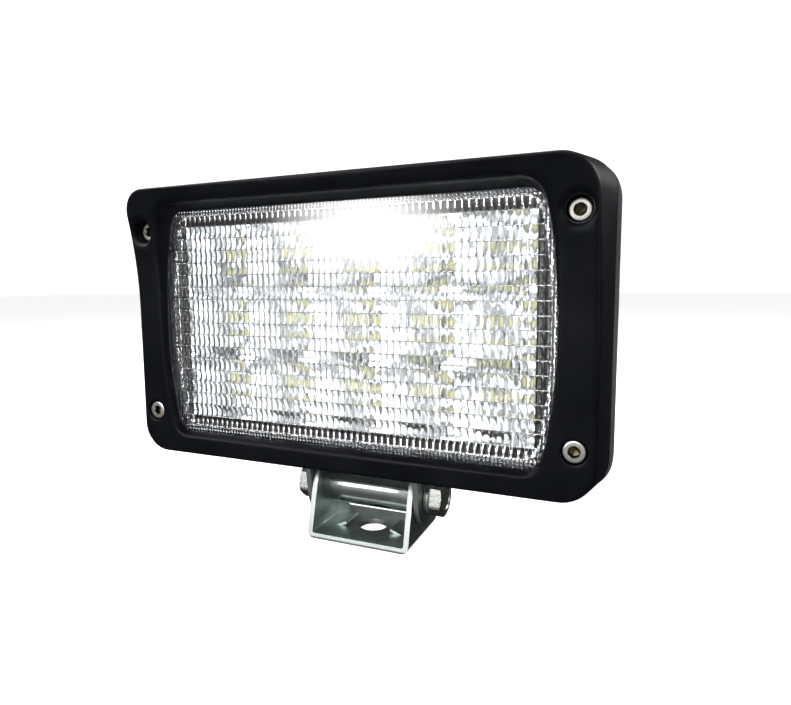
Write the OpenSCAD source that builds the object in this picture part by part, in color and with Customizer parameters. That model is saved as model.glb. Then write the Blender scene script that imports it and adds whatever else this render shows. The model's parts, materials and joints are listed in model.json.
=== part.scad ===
// Rectangular LED fog and work light on a two-part tilting steel bracket.
// Frame: +Z up, +X to the right as seen from the front, the lamp shines towards -Y.
// The origin is the centre of the bracket's base hole, on the underside of the base.

/* [Lens] */
// Width of the visible lens at mid-height
lens_w = 182; // [172:1:184]
// Height of the visible lens
lens_h = 104; // [96:1:106]
// Radius of the bowed left and right lens edges
lens_side_r = 240; // [200:10:400]
// Radius of the lens corners
lens_corner_r = 8; // [6:1:12]
// Thickness of the lens
lens_t = 4.5; // [3:0.5:4.5]

/* [Bezel] */
// Width of the bezel at its back edge
bezel_w = 218.8; // [217:0.2:224]
// Height of the bezel at its back edge
bezel_h = 130; // [129:1:136]
// Width of the bezel at its front edge
bezel_front_w = 207.2; // [206:0.2:212]
// Height of the bezel at its front edge
bezel_front_h = 122.4; // [121:0.2:126]
// Depth of the bezel behind the screw heads
bezel_d = 20; // [18:1:22]
// Radius of the curve that sweeps forward into the visor
visor_r = 164; // [150:2:260]
// Distance between the bezel screws across the lamp
screw_dx = 196; // [194:1:198]
// Distance between the bezel screws up the lamp
screw_dz = 86; // [80:1:90]

/* [Housing] */
// Depth of the cooling fins behind the rear wall
fin_d = 22; // [14:1:24]
// Thickness of one cooling fin
fin_t = 2.6; // [2:0.2:4]
// Spacing of the cooling fins
fin_pitch = 8.6; // [7.6:0.2:12]

/* [Light source] */
// Number of emitters in a row
led_columns = 5; // [3:1:5]
// Number of rows of emitters
led_rows = 3; // [1:2:3]
// Spacing of the emitters across the lamp
led_dx = 33; // [30:1:33]
// Spacing of the emitters up the lamp
led_dz = 30; // [30:1:30]

/* [Bracket] */
// Thickness of the bracket plates
plate_t = 2.5; // [2:0.25:3]
// Outside width of the lower bracket
base_w = 52; // [50:1:52]
// Depth of the lower bracket's base
base_d = 40; // [38:1:48]
// Diameter of the base hole
base_hole_d = 14; // [11:0.5:14]
// Height of the tilt axis above the mounting surface
pivot_h = 21.5; // [21:0.5:24]
// Radius of the rounded ear ends
ear_r = 14; // [13:0.5:14]
// Outside diameter of the spacer tube
tube_d = 18; // [16:0.5:19]

/* [Hidden] */
$fn = 64;

// Lamp centre, measured from the tilt axis
lamp_fwd = 39;
lamp_rise = 82;

// Depths inside the lamp, measured back from the bezel screws' head faces
visor_start_z = 5;
face_y = -1;
bezel_tip_y = -12;
bezel_front_corner_r = 12;
bezel_corner_r = 15;
lip_y = 2.4;
lip_bevel = 2.4;
seal_t = 0.6;
lens_y = lip_y + seal_t;
lens_flange = 3;
lens_back_y = lens_y + lens_t;
rim_y = 9.3;
rim_grow = 3.2;
cavity_grow = -2.5;
pocket_grow = 3.6;
relief_x = 101;
relief_y = 6;
relief_w = 7;
relief_h = 60;
flange_w = 221.2;
flange_h = 126.4;
flange_back_y = 27;
wall_y = 34;
wall_back_y = 40;
fin_back_y = wall_back_y + fin_d;
body_w = 197;
body_h = 113;

// Metric fastener sizes
m5_d = 5;
m5_head_d = 8.5;
m5_key = 4;
m10_d = 10;
m10_hex = 16;
m10_head_h = 6.4;
head_turn = 18;
m6_d = 6;
m6_hex = 10;
m6_head_h = 4;
m3_d = 3;
m3_head_d = 5.5;
m4_d = 4;
m4_head_d = 8;

// Bracket places, measured from the tilt axis
side_gap = 0.4;
turn_gap = 0.3;
bend_r = 3.5;
upper_w = base_w + 2 * (side_gap + plate_t);
flap_length = 13;
flap_root_x = 17.5;
flap_tip_x = 12;
flap_rise = 2.2;
web_low = 15;
web_front = -16;
web_back = 17;
bracket_bolt_x = 12;
bracket_bolt_y = 10;
pivot_washer_t = 2.2;
m6_washer_t = 1.6;
pad_low_z = -lamp_rise + web_low + plate_t;
pad_w = 40;
pad_d = 34;

// Driver compartment on the back of the housing
box_w = 96;
box_h = 78;
box_in_w = 84;
box_in_h = 66;
box_back_y = 60;
cover_seal_t = 1.2;
cover_t = 4;
cover_screw_x = 44;
cover_screw_z = 35;
port_x = 31;
port_y = 50;
port_r = 6;
port_boss_r = 9.5;
gland_hex = 17;
gland_bore_r = 4;
gland_cap_hex = 16;
vent_r = 8.2;
driver_y = 44;
driver_board_t = 1.6;
driver_w = 80;
driver_h = 60;
driver_notch = 12;
driver_screw_x = 30;
driver_screw_z = 26;
lead_x = 30;
lead_r = 0.9;
terminal_z = -21;

// Light source depths
board_t = 1.6;
pad_t = 0.4;
board_y = wall_y - pad_t - board_t;
led_t = 2;
cup_front_y = 10.5;
cup_back_y = board_y - led_t - 0.4;
cup_front_r = 14.6;
cup_back_r = 5.2;
cup_wall = 0.9;
post_x = 80;
post_z = 40;
post_r = 2.5;
board_w = 168;
board_h = 92;
led_w = 6.8;
led_dome_r = 2.9;

// Frames and profile directions -------------------------------------------------

// The lamp's own frame: its centre, level with the bezel screws' head faces
module lamp_frame() {
    translate([0, -lamp_fwd, pivot_h + lamp_rise]) children();
}

// The tilt axis
module pivot_frame() {
    translate([0, 0, pivot_h]) children();
}

// A flat outline in X and Z, extruded along Y from y0 to y1
module along_y(y0, y1) {
    translate([0, y1, 0]) rotate([90, 0, 0]) linear_extrude(y1 - y0) children();
}

// A flat outline in Y and Z, extruded along X from x0 to x1
module along_x(x0, x1) {
    translate([x0, 0, 0]) rotate([90, 0, 90]) linear_extrude(x1 - x0) children();
}

// A round bar along Y from y0 to y1
module rod_y(r, y0, y1) {
    translate([0, y1, 0]) rotate([90, 0, 0]) cylinder(r = r, h = y1 - y0);
}

// A round bar along X from x0 to x1
module rod_x(r, x0, x1) {
    translate([x0, 0, 0]) rotate([0, 90, 0]) cylinder(r = r, h = x1 - x0);
}

module at_bezel_screws() {
    for (sx = [-1, 1], sz = [-1, 1])
        translate([sx * screw_dx / 2, 0, sz * screw_dz / 2]) children();
}

module at_emitters() {
    for (i = [0 : led_columns - 1], j = [0 : led_rows - 1])
        translate([(i - (led_columns - 1) / 2) * led_dx, 0, (j - (led_rows - 1) / 2) * led_dz]) children();
}

module at_board_screws() {
    for (sx = [-1.5, 0, 1.5], sz = [-0.5, 0.5])
        translate([sx * led_dx, 0, sz * led_dz]) children();
}

module at_cover_screws() {
    for (sx = [-1, 1], sz = [-1, 1])
        translate([sx * cover_screw_x, 0, sz * cover_screw_z]) children();
}

module at_driver_screws() {
    for (sx = [-1, 1], sz = [-1, 1])
        translate([sx * driver_screw_x, 0, sz * driver_screw_z]) children();
}

module at_bracket_bolts() {
    for (sx = [-1, 1])
        translate([sx * bracket_bolt_x, bracket_bolt_y, 0]) children();
}

// Outlines -----------------------------------------------------------------------

module rounded_rect(w, h, r) {
    square([w - 2 * r, h], center = true);
    square([w, h - 2 * r], center = true);
    for (sx = [-1, 1], sy = [-1, 1])
        translate([sx * (w / 2 - r), sy * (h / 2 - r)]) circle(r);
}

// The lens outline, with bowed sides, grown evenly by g
module lens_outline(g = 0) {
    side_x = lens_side_r - lens_w / 2;
    corner_z = lens_h / 2 - lens_corner_r;
    corner_x = sqrt(pow(lens_side_r - lens_corner_r, 2) - pow(corner_z, 2)) - side_x;
    r = lens_corner_r + g;
    band_z = corner_z * (lens_side_r + g) / (lens_side_r - lens_corner_r);
    intersection() {
        translate([-side_x, 0]) circle(lens_side_r + g, $fn = 128);
        translate([side_x, 0]) circle(lens_side_r + g, $fn = 128);
        square([lens_w + 2 * g + 2, 2 * band_z], center = true);
    }
    square([2 * corner_x, lens_h + 2 * g], center = true);
    for (sx = [-1, 1], sz = [-1, 1])
        translate([sx * corner_x, sz * corner_z]) circle(r);
}

module hex_outline(across_flats) {
    circle(across_flats / sqrt(3), $fn = 6);
}

// Where a line from point p touches the circle of radius r about the origin
function touch_point(p, r, side) =
    let (d = norm(p), a = atan2(p[1], p[0]) + side * acos(r / d))
    [r * cos(a), r * sin(a)];

// A U of bent plate, open at the bottom, with its top at z = 0
module plate_u(w, drop) {
    difference() {
        union() {
            translate([-w / 2, -drop]) square([w, drop - bend_r]);
            translate([-w / 2 + bend_r, -bend_r - 1]) square([w - 2 * bend_r, bend_r + 1]);
            for (sx = [-1, 1]) translate([sx * (w / 2 - bend_r), -bend_r]) circle(bend_r);
        }
        union() {
            inner_w = w - 2 * plate_t;
            inner_r = bend_r - plate_t;
            translate([-inner_w / 2, -drop - 1]) square([inner_w, drop + 1 - bend_r]);
            translate([-inner_w / 2 + inner_r, -bend_r - 1])
                square([inner_w - 2 * inner_r, bend_r + 1 - plate_t]);
            for (sx = [-1, 1]) translate([sx * (inner_w / 2 - inner_r), -bend_r]) circle(inner_r);
        }
    }
}

// Fasteners ----------------------------------------------------------------------

// Socket head cap screw along Y, head face at y = 0 and towards -Y
module cap_screw(d, head_d, head_h, key, length) {
    difference() {
        rod_y(head_d / 2, 0, head_h);
        along_y(-1, head_h * 0.6) hex_outline(key);
    }
    rod_y(d / 2, head_h, head_h + length);
}

// Hexagon bolt along X, underside of its head at x = 0, shank towards -X
module hex_bolt(d, hex, head_h, length) {
    chamfer_slope = tan(60);
    flat_r = hex * 0.475;
    intersection() {
        along_x(0, head_h) rotate(head_turn) hex_outline(hex);
        rotate([0, 90, 0]) cylinder(r1 = flat_r + chamfer_slope * head_h, r2 = flat_r, h = head_h);
    }
    rod_x(d / 2, -length, 0.5);
}

// Split spring washer along X from x = 0
module lock_washer(d, outer_d, t) {
    rotate([0, 90, 0]) difference() {
        cylinder(r = outer_d / 2, h = t);
        translate([0, 0, -1]) cylinder(r = d / 2 + 0.1, h = t + 2);
        translate([0, -0.4, -1]) cube([outer_d, 0.8, t + 2]);
    }
}

// Bracket ------------------------------------------------------------------------

module lower_bracket() {
    foot_front = [-base_d / 2, 1 - pivot_h];
    foot_back = [base_d / 2, 1 - pivot_h];
    color("lightsteelblue") {
        difference() {
            intersection() {
                mirror([0, 0, 1]) along_y(-base_d, base_d) plate_u(base_w, pivot_h + ear_r + 1);
                pivot_frame() along_x(-base_w, base_w) {
                    circle(ear_r);
                    polygon([
                        [-base_d / 2, -pivot_h], [base_d / 2, -pivot_h],
                        foot_back, touch_point(foot_back, ear_r, 1), [0, 0],
                        touch_point(foot_front, ear_r, -1), foot_front
                    ]);
                }
            }
            translate([0, 0, -1]) cylinder(r = base_hole_d / 2, h = plate_t + 2);
            pivot_frame() rod_x(m10_d / 2 + 0.25, -base_w, base_w);
        }
        for (sx = [0, 1]) mirror([sx, 0, 0]) locating_tab();
    }
}

// A flap of the base, pressed up beside the hole
module locating_tab() {
    translate([0, flap_length / 2, 0]) rotate([90, 0, 0]) linear_extrude(flap_length)
        polygon([
            [flap_root_x, plate_t - 0.5], [flap_root_x, plate_t], [flap_tip_x, plate_t + flap_rise],
            [flap_tip_x - 0.5, plate_t + flap_rise - 1.2], [flap_root_x - 2, plate_t - 0.5]
        ]);
}

module spacer_tube() {
    color("silver") pivot_frame() difference() {
        rod_x(tube_d / 2, -base_w / 2 + plate_t, base_w / 2 - plate_t);
        rod_x(m10_d / 2, -base_w, base_w);
    }
}

// Where the pivot bolts' heads seat, out from the centre
function pivot_head_x() = upper_w / 2 + turn_gap + pivot_washer_t;

module pivot_bolts() {
    color("silver") pivot_frame() for (sx = [0, 1]) mirror([sx, 0, 0])
        translate([pivot_head_x(), 0, 0]) hex_bolt(m10_d, m10_hex, m10_head_h, 25);
}

module pivot_lock_washers() {
    color("silver") pivot_frame() for (sx = [0, 1]) mirror([sx, 0, 0])
        translate([upper_w / 2 + turn_gap, 0, 0]) lock_washer(m10_d, 17.6, pivot_washer_t);
}

module upper_bracket() {
    top_z = web_low + plate_t;
    color("lightsteelblue") pivot_frame() difference() {
        intersection() {
            translate([0, 0, top_z]) along_y(-base_d, base_d) plate_u(upper_w, top_z + ear_r + 1);
            along_x(-base_w, base_w) {
                circle(ear_r);
                polygon([
                    [web_front, web_low + plate_t], [web_front, web_low],
                    touch_point([web_front, web_low], ear_r, 1), [0, 0],
                    touch_point([web_back, web_low], ear_r, -1),
                    [web_back, web_low], [web_back, web_low + plate_t]
                ]);
            }
        }
        rod_x(m10_d / 2 + 0.06, -base_w, base_w);
        at_bracket_bolts() cylinder(r = m6_d / 2 + 0.3, h = web_low + plate_t + 1);
    }
}

module bracket_bolts() {
    color("silver") pivot_frame() at_bracket_bolts()
        translate([0, 0, web_low - m6_washer_t]) rotate([0, 90, 0]) hex_bolt(m6_d, m6_hex, m6_head_h, 12);
}

module bracket_lock_washers() {
    color("silver") pivot_frame() at_bracket_bolts()
        translate([0, 0, web_low]) rotate([0, 90, 0]) lock_washer(m6_d, 9.8, m6_washer_t);
}

// Lamp body ----------------------------------------------------------------------

module rear_housing() {
    color([0.09, 0.09, 0.1]) lamp_frame() difference() {
        union() {
            along_y(rim_y, wall_y) lens_outline(rim_grow);
            along_y(bezel_d, flange_back_y) rounded_rect(flange_w, flange_h, 14);
            along_y(flange_back_y - 1, wall_back_y) rounded_rect(body_w, body_h, 14);
            along_y(wall_back_y - 1, box_back_y) rounded_rect(box_w, box_h, 5);
            translate([-pad_w / 2, flange_back_y - 5, pad_low_z])
                cube([pad_w, pad_d, 2 - box_h / 2 - pad_low_z]);
            at_bezel_screws() rod_y(6, flange_back_y - 1, wall_back_y - 2);
            cooling_fins();
            for (sx = [-1, 1]) translate([sx * port_x, port_y, -box_h / 2]) mirror([0, 0, 1])
                translate([0, 0, -1]) cylinder(r = port_boss_r, h = 2);
        }
        along_y(rim_y - 1, wall_y) lens_outline(cavity_grow);
        along_y(wall_back_y, box_back_y + 1) rounded_rect(box_in_w - 14, box_in_h, 3);
        along_y(wall_back_y, box_back_y + 1) rounded_rect(box_in_w, box_in_h - 14, 3);
        translate([lead_x, 0, 0]) rod_y(3, wall_y - 1, wall_back_y + 1);
        at_bezel_screws() rod_y(m5_d / 2, bezel_d - 1, wall_back_y - 4);
        at_board_screws() rod_y(m3_d / 2, wall_y - 1, wall_y + 5);
        at_cover_screws() rod_y(m4_d / 2, box_back_y - 12, box_back_y + 1);
        for (sx = [-1, 1]) translate([sx * port_x, port_y, -box_h / 2 - 2]) cylinder(r = port_r, h = 12);
        translate([0, lamp_fwd, pad_low_z - 1]) at_bracket_bolts() cylinder(r = m6_d / 2, h = 11);
    }
}

// Upright fins beside and above the driver compartment
module cooling_fins() {
    outer = [for (i = [0 : 4]) box_w / 2 + 6 + i * fin_pitch];
    for (x = outer, sx = [-1, 1]) translate([sx * x - fin_t / 2, wall_back_y - 1, -body_h / 2 + 6])
        cube([fin_t, fin_back_y - wall_back_y + 1, body_h - 12]);
    for (i = [-4 : 4]) translate([i * fin_pitch * 1.2 - fin_t / 2, wall_back_y - 1, box_h / 2 - 1])
        cube([fin_t, box_back_y - 4 - wall_back_y, body_h / 2 - 6 - box_h / 2 + 1]);
}

module housing_seal() {
    color("dimgray") lamp_frame() along_y(lens_back_y, rim_y) difference() {
        lens_outline(lens_flange - 0.2);
        lens_outline(cavity_grow + 0.3);
    }
}

module lens() {
    color("gainsboro") lamp_frame() along_y(lens_y, lens_back_y) lens_outline(lens_flange);
}

module lens_seal() {
    color("black") lamp_frame() along_y(lip_y, lens_y) difference() {
        lens_outline(lens_flange - 0.2);
        lens_outline(0.3);
    }
}

module bezel() {
    color([0.1, 0.1, 0.11]) lamp_frame() difference() {
        bezel_blank();
        visor_cut();
        along_y(bezel_tip_y - 1, bezel_d + 1) lens_outline(0);
        along_y(lip_y, bezel_d + 1) lens_outline(pocket_grow);
        hull() {
            along_y(lip_y - 0.3, lip_y - 0.2) lens_outline(0);
            along_y(face_y - 0.2, face_y - 0.1) lens_outline(lip_bevel);
        }
        along_y(bezel_tip_y - 1, face_y - 0.1) lens_outline(lip_bevel);
        at_bezel_screws() rod_y(m5_d / 2 + 0.3, bezel_tip_y - 1, bezel_d + 1);
        at_bezel_screws() rod_y(5.2, bezel_tip_y - 1, m5_d);
        for (sx = [-1, 1]) along_y(relief_y, bezel_d + 1)
            translate([sx * relief_x, 0]) square([relief_w, relief_h], center = true);
    }
}

// The bezel's outer form: walls drafted from the visor tip to the back edge
module bezel_blank() {
    hull() {
        along_y(bezel_tip_y, bezel_tip_y + 0.1)
            rounded_rect(bezel_front_w, bezel_front_h, bezel_front_corner_r, $fn = 48);
        along_y(bezel_d - 0.1, bezel_d) rounded_rect(bezel_w, bezel_h, bezel_corner_r, $fn = 48);
    }
}

// What is cut from the front: flat low down, and a hollow curve up into the visor
module visor_cut() {
    translate([-bezel_w, bezel_tip_y - 1, -bezel_h])
        cube([2 * bezel_w, face_y - bezel_tip_y + 1, bezel_h + visor_start_z]);
    intersection() {
        translate([0, face_y - visor_r, visor_start_z]) rod_x(visor_r, -bezel_w, bezel_w, $fn = 256);
        translate([-bezel_w, bezel_tip_y - 1, visor_start_z - 1])
            cube([2 * bezel_w, face_y - bezel_tip_y + 1, bezel_h]);
    }
}

module bezel_screws() {
    color("silver") lamp_frame() at_bezel_screws() cap_screw(m5_d, m5_head_d, m5_d, m5_key, 25);
}

// Light source -------------------------------------------------------------------

module reflector() {
    color("white") lamp_frame() difference() {
        union() {
            along_y(cup_front_y, cup_front_y + 1.2) lens_outline(cavity_grow - 0.6);
            at_emitters() cup(cup_front_r + cup_wall, cup_back_r + cup_wall, cup_front_y + 0.6, cup_back_y);
            for (sx = [-1, 1], sz = [-1, 1])
                translate([sx * post_x, 0, sz * post_z]) rod_y(post_r, cup_front_y + 0.6, board_y);
        }
        at_emitters() cup(cup_front_r, cup_back_r, cup_front_y, cup_back_y);
        at_emitters() rod_y(cup_back_r, cup_back_y - 0.5, cup_back_y + 1);
        at_emitters() rod_y(cup_front_r, cup_front_y - 1, cup_front_y + 0.1);
    }
}

// A cone along Y, narrowing from r1 at y0 to r2 at y1
module cup(r1, r2, y0, y1) {
    translate([0, y1, 0]) rotate([90, 0, 0]) cylinder(r1 = r2, r2 = r1, h = y1 - y0);
}

module led_board() {
    color("white") lamp_frame() difference() {
        along_y(board_y, board_y + board_t) rounded_rect(board_w, board_h, 4);
        at_board_screws() rod_y(m3_d / 2 + 0.1, board_y - 1, wall_y);
    }
}

module led_packages() {
    color("gold") lamp_frame() at_emitters() {
        along_y(board_y - 0.8, board_y) square(led_w, center = true);
        rod_y(led_dome_r, board_y - led_t, board_y - 0.7);
    }
}

module thermal_pad() {
    color("lightblue") lamp_frame() difference() {
        along_y(board_y + board_t, wall_y) rounded_rect(board_w - 2, board_h - 2, 4);
        at_board_screws() rod_y(m3_d / 2 + 0.4, board_y, wall_y + 1);
        translate([lead_x, 0, 0]) rod_y(3.2, board_y, wall_y + 1);
    }
}

module board_screws() {
    color("silver") lamp_frame() at_board_screws() translate([0, board_y - 3, 0])
        cap_screw(m3_d, m3_head_d, 3, 2.5, 7);
}

// Driver -------------------------------------------------------------------------

module driver_board() {
    color("darkgreen") lamp_frame() difference() {
        along_y(driver_y, driver_y + driver_board_t) square([driver_w, driver_h], center = true);
        at_driver_screws() rod_y(m3_d / 2 + 0.1, driver_y - 1, driver_y + 3);
        for (sx = [-1, 1], sz = [-1, 1]) translate([sx * driver_w / 2, 0, sz * driver_h / 2])
            along_y(driver_y - 1, driver_y + 3) square(driver_notch, center = true);
    }
}

module driver_standoffs() {
    color("goldenrod") lamp_frame() at_driver_screws() difference() {
        along_y(wall_back_y, driver_y) hex_outline(5.5);
        rod_y(m3_d / 2, wall_back_y + 0.5, driver_y + 1);
    }
}

module driver_screws() {
    color("silver") lamp_frame() at_driver_screws() translate([0, driver_y + driver_board_t, 0])
        mirror([0, 1, 0]) translate([0, -2, 0]) cap_screw(m3_d, 5, 2, 2.5, 4.4);
}

module driver_chokes() {
    top = driver_y + driver_board_t;
    color("darkred") lamp_frame() for (x = [-22, 2]) translate([x, 0, 12]) difference() {
        rod_y(9, top, top + 8);
        rod_y(3.5, top + 1, top + 9);
    }
}

module driver_capacitors() {
    top = driver_y + driver_board_t;
    color("midnightblue") lamp_frame() for (x = [-28, -14]) translate([x, 0, -12]) rod_y(5, top, top + 12);
}

module driver_chips() {
    top = driver_y + driver_board_t;
    color("black") lamp_frame() {
        for (x = [2, 12]) translate([x, 0, -10]) along_y(top, top + 2) square([6, 5], center = true);
        translate([21, 0, 16]) along_y(top, top + 4.5) square([10, 15], center = true);
    }
}

module terminal_block() {
    top = driver_y + driver_board_t;
    color("green") lamp_frame() translate([port_x, 0, terminal_z + 5]) difference() {
        along_y(top, top + 9) square([11, 10], center = true);
        for (sx = [-1, 1]) translate([sx * 2.6, 0, 0]) rod_y(1.6, top + 6, top + 10);
    }
}

module led_leads() {
    color("red") lamp_frame() for (sx = [-1, 1])
        translate([lead_x + sx * 1.3, 0, 0]) rod_y(lead_r, board_y + board_t, driver_y);
}

module supply_leads() {
    low_z = -box_h / 2 + 3;
    color("red") lamp_frame() for (sx = [-1, 1])
        translate([port_x + sx * 2.6, port_y, low_z]) cylinder(r = 1.2, h = terminal_z - low_z);
}

module driver_cover() {
    y0 = box_back_y + cover_seal_t;
    color([0.09, 0.09, 0.1]) lamp_frame() difference() {
        union() {
            along_y(y0, y0 + cover_t) rounded_rect(box_w, box_h, 5);
            for (i = [-3 : 3]) translate([i * 9.5 - 1.3, y0 + cover_t - 1, -box_h / 2 + 10])
                cube([2.6, 3.5, box_h - 20]);
        }
        at_cover_screws() rod_y(m4_d / 2 + 0.2, y0 - 1, y0 + cover_t + 1);
    }
}

module driver_cover_seal() {
    color("dimgray") lamp_frame() along_y(box_back_y, box_back_y + cover_seal_t) difference() {
        rounded_rect(box_w - 1, box_h - 1, 5);
        rounded_rect(box_in_w - 15, box_in_h, 3);
        rounded_rect(box_in_w, box_in_h - 15, 3);
        for (sx = [-1, 1], sz = [-1, 1])
            translate([sx * cover_screw_x, sz * cover_screw_z]) circle(m4_d / 2 + 0.3);
    }
}

module driver_cover_screws() {
    color("silver") lamp_frame() at_cover_screws()
        translate([0, box_back_y + cover_seal_t + cover_t + 2.4, 0]) mirror([0, 1, 0])
        cap_screw(m4_d, m4_head_d - 1, 2.4, 2.5, 13);
}

// Ports on the underside of the driver compartment -------------------------------

module at_port(sx) {
    lamp_frame() translate([sx * port_x, port_y, -box_h / 2 - 1]) mirror([0, 0, 1]) children();
}

module cable_gland() {
    color("black") at_port(1) difference() {
        union() {
            translate([0, 0, -7]) cylinder(r = port_r, h = 8);
            linear_extrude(4) hex_outline(gland_hex);
            translate([0, 0, 3]) cylinder(r = port_r, h = 6);
        }
        translate([0, 0, -8]) cylinder(r = gland_bore_r, h = 20);
    }
}

module gland_seal() {
    color("dimgray") at_port(1) difference() {
        translate([0, 0, 2]) cylinder(r = gland_bore_r, h = 8.5);
        translate([0, 0, 1]) cylinder(r = 2.6, h = 20);
    }
}

module gland_cap() {
    color("black") at_port(1) difference() {
        union() {
            translate([0, 0, 4.5]) linear_extrude(5) hex_outline(gland_cap_hex);
            translate([0, 0, 9]) cylinder(r1 = 7.6, r2 = 5.2, h = 3);
        }
        translate([0, 0, 4]) cylinder(r = port_r, h = 5);
        translate([0, 0, 8]) cylinder(r = gland_bore_r, h = 2.5);
        translate([0, 0, 8]) cylinder(r = 3, h = 5);
    }
}

module breather_vent() {
    color("black") at_port(-1) difference() {
        union() {
            translate([0, 0, -7]) cylinder(r = port_r, h = 8);
            translate([0, 0, 1]) cylinder(r = vent_r, h = 4.5);
        }
        translate([0, 0, -8]) cylinder(r = 3, h = 11);
        for (a = [0 : 60 : 179]) rotate(a) translate([-9, -0.8, 2.2]) cube([18, 1.6, 1.4]);
    }
}

module vent_seal() {
    color("dimgray") at_port(-1) difference() {
        cylinder(r = vent_r + 0.4, h = 1);
        translate([0, 0, -1]) cylinder(r = port_r, h = 3);
    }
}

lower_bracket();
spacer_tube();
pivot_bolts();
pivot_lock_washers();
upper_bracket();
bracket_bolts();
bracket_lock_washers();
rear_housing();
housing_seal();
lens();
lens_seal();
bezel();
bezel_screws();
reflector();
led_board();
led_packages();
thermal_pad();
board_screws();
driver_board();
driver_standoffs();
driver_screws();
driver_chokes();
driver_capacitors();
driver_chips();
terminal_block();
led_leads();
supply_leads();
driver_cover();
driver_cover_seal();
driver_cover_screws();
cable_gland();
gland_seal();
gland_cap();
breather_vent();
vent_seal();
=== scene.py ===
import json
import math

import bmesh
import bpy
from mathutils import Matrix, Vector


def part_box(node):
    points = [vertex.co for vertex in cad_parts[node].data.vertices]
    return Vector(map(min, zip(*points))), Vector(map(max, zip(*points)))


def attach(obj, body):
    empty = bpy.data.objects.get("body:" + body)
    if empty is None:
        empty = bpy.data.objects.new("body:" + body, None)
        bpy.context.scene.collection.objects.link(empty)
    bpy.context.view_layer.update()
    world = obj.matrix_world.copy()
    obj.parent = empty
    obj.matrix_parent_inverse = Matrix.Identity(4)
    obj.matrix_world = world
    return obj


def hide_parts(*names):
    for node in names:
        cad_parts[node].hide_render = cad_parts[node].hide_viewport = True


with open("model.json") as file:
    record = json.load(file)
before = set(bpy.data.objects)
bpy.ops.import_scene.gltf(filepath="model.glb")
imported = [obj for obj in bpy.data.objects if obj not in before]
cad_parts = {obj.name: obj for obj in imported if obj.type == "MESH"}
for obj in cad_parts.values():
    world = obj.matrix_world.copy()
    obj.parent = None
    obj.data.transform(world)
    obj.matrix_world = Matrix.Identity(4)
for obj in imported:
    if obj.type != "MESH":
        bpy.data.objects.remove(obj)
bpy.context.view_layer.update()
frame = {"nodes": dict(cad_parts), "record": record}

# The frame. Lamp pieces are laid out in millimetres from the lamp's own centre, with y = 0
# level with the bezel screws' head faces. Bracket pieces are laid out from the tilt axis.
MM = 0.001
LAMP_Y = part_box("bezel_screws")[0][1]
LAMP_Z = (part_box("lens")[0][2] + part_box("lens")[1][2]) / 2
AXIS_Z = (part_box("spacer_tube")[0][2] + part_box("spacer_tube")[1][2]) / 2

# Sizes in millimetres, repeated from the part apart from LIP_SIDE
BACK_W, BACK_H, BACK_R, BACK_Y = 218.8, 130.0, 15.0, 20.0
FRONT_W, FRONT_H, FRONT_R, TIP_Y = 207.2, 122.4, 12.0, -12.0
VISOR_R, VISOR_START, FACE_Y = 164.0, 5.0, -1.0
LENS_W, LENS_H, LENS_R, LENS_SIDE_R = 182.0, 104.0, 8.0, 240.0
LENS_Y, LENS_BACK_Y, LIP_Y = 3.0, 7.5, 2.4
LIP_SIDE, LIP_TOP = 0.7, 2.4                # width of the bevel round the lens
SCREW_PLACES = [(x, z) for x in (-98.0, 98.0) for z in (-43.0, 43.0)]

# The lens's outline: centres of its side and corner arcs, and the angle where they meet
LENS_SIDE_X = LENS_SIDE_R - LENS_W / 2
LENS_CORNER_Z = LENS_H / 2 - LENS_R
LENS_CORNER_X = math.sqrt((LENS_SIDE_R - LENS_R) ** 2 - LENS_CORNER_Z * LENS_CORNER_Z) - LENS_SIDE_X
LENS_TURN = math.atan2(LENS_CORNER_Z, LENS_CORNER_X + LENS_SIDE_X)


def lamp(x, y, z):
    return Vector((x * MM, LAMP_Y + y * MM, LAMP_Z + z * MM))


def axis(x, y, z):
    return Vector((x * MM, y * MM, AXIS_Z + z * MM))


# Camera ---------------------------------------------------------------------------

CAMERA_TURN = (23.04, 5.99, -0.39)          # yaw, pitch and roll, in degrees
CAMERA_PLACE = (118.24, -214.42, 17.93)     # from the lamp's centre
CAMERA_LENS, CAMERA_SHIFT = 26.62, (0.0047, -0.0097)


def make_camera():
    yaw, pitch, roll = (math.radians(a) for a in CAMERA_TURN)
    ahead = Vector((
        -math.sin(yaw) * math.cos(pitch), math.cos(yaw) * math.cos(pitch), -math.sin(pitch)
    ))
    right = Vector((math.cos(yaw), math.sin(yaw), 0.0))
    up = right.cross(ahead)
    right, up = (
        right * math.cos(roll) + up * math.sin(roll),
        up * math.cos(roll) - right * math.sin(roll),
    )
    data = bpy.data.cameras.new("camera")
    data.sensor_width = 36.0
    data.lens = CAMERA_LENS
    data.shift_x, data.shift_y = CAMERA_SHIFT
    data.clip_start = 0.01
    data.clip_end = 20.0
    cam = bpy.data.objects.new("camera", data)
    turn = Matrix((right, up, -ahead)).transposed().to_4x4()
    cam.matrix_world = Matrix.Translation(lamp(*CAMERA_PLACE)) @ turn
    bpy.context.scene.collection.objects.link(cam)
    bpy.context.scene.camera = cam


make_camera()

# Materials ------------------------------------------------------------------------

NOISE_LOW, NOISE_HIGH = 0.3, 0.7    # nearly all of a noise texture's values lie between these


def shader_of(tree):
    return next(n for n in tree.nodes if n.type == "BSDF_PRINCIPLED")


def new_material(name):
    mat = bpy.data.materials.new(name)
    mat.use_nodes = True
    return mat, mat.node_tree, shader_of(mat.node_tree)


def object_coords(tree, scale=(1.0, 1.0, 1.0)):
    coord = tree.nodes.new("ShaderNodeTexCoord")
    mapping = tree.nodes.new("ShaderNodeMapping")
    mapping.inputs["Scale"].default_value = scale
    tree.links.new(coord.outputs["Object"], mapping.inputs["Vector"])
    return mapping.outputs["Vector"]


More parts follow.
